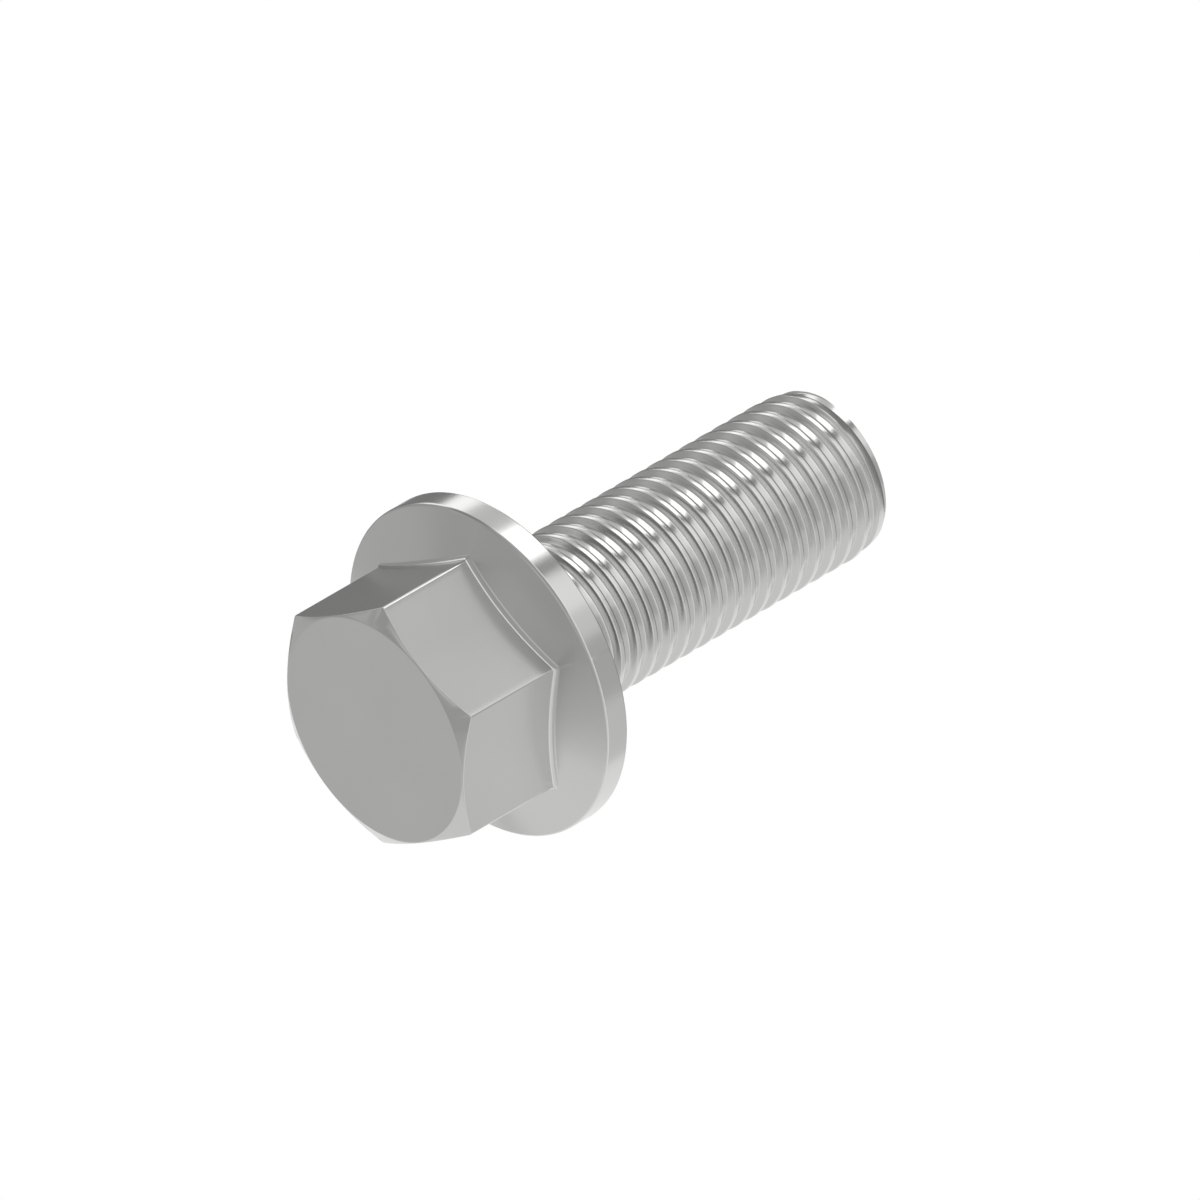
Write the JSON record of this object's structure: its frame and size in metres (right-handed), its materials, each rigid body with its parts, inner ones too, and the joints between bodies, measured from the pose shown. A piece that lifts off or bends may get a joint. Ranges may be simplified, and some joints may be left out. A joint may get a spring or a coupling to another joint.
{
  "type": "hexagon flange screw",
  "caption": "Steel screw with a hexagon head, an integral round flange, a short plain neck and a right-hand thread to its tapered tip.",
  "frame": {"origin": "centre of the flat top of the head, on which the screw stands", "axes": "+Z along the screw from the head to the tip of the thread, +X through a corner of the hexagon"},
  "size_m": [0.0318, 0.0318, 0.0556],
  "materials": {
    "steel": "satin"
  },
  "bodies": {
    "root": {"flange_screw": "steel"}
  },
  "joints": []
}
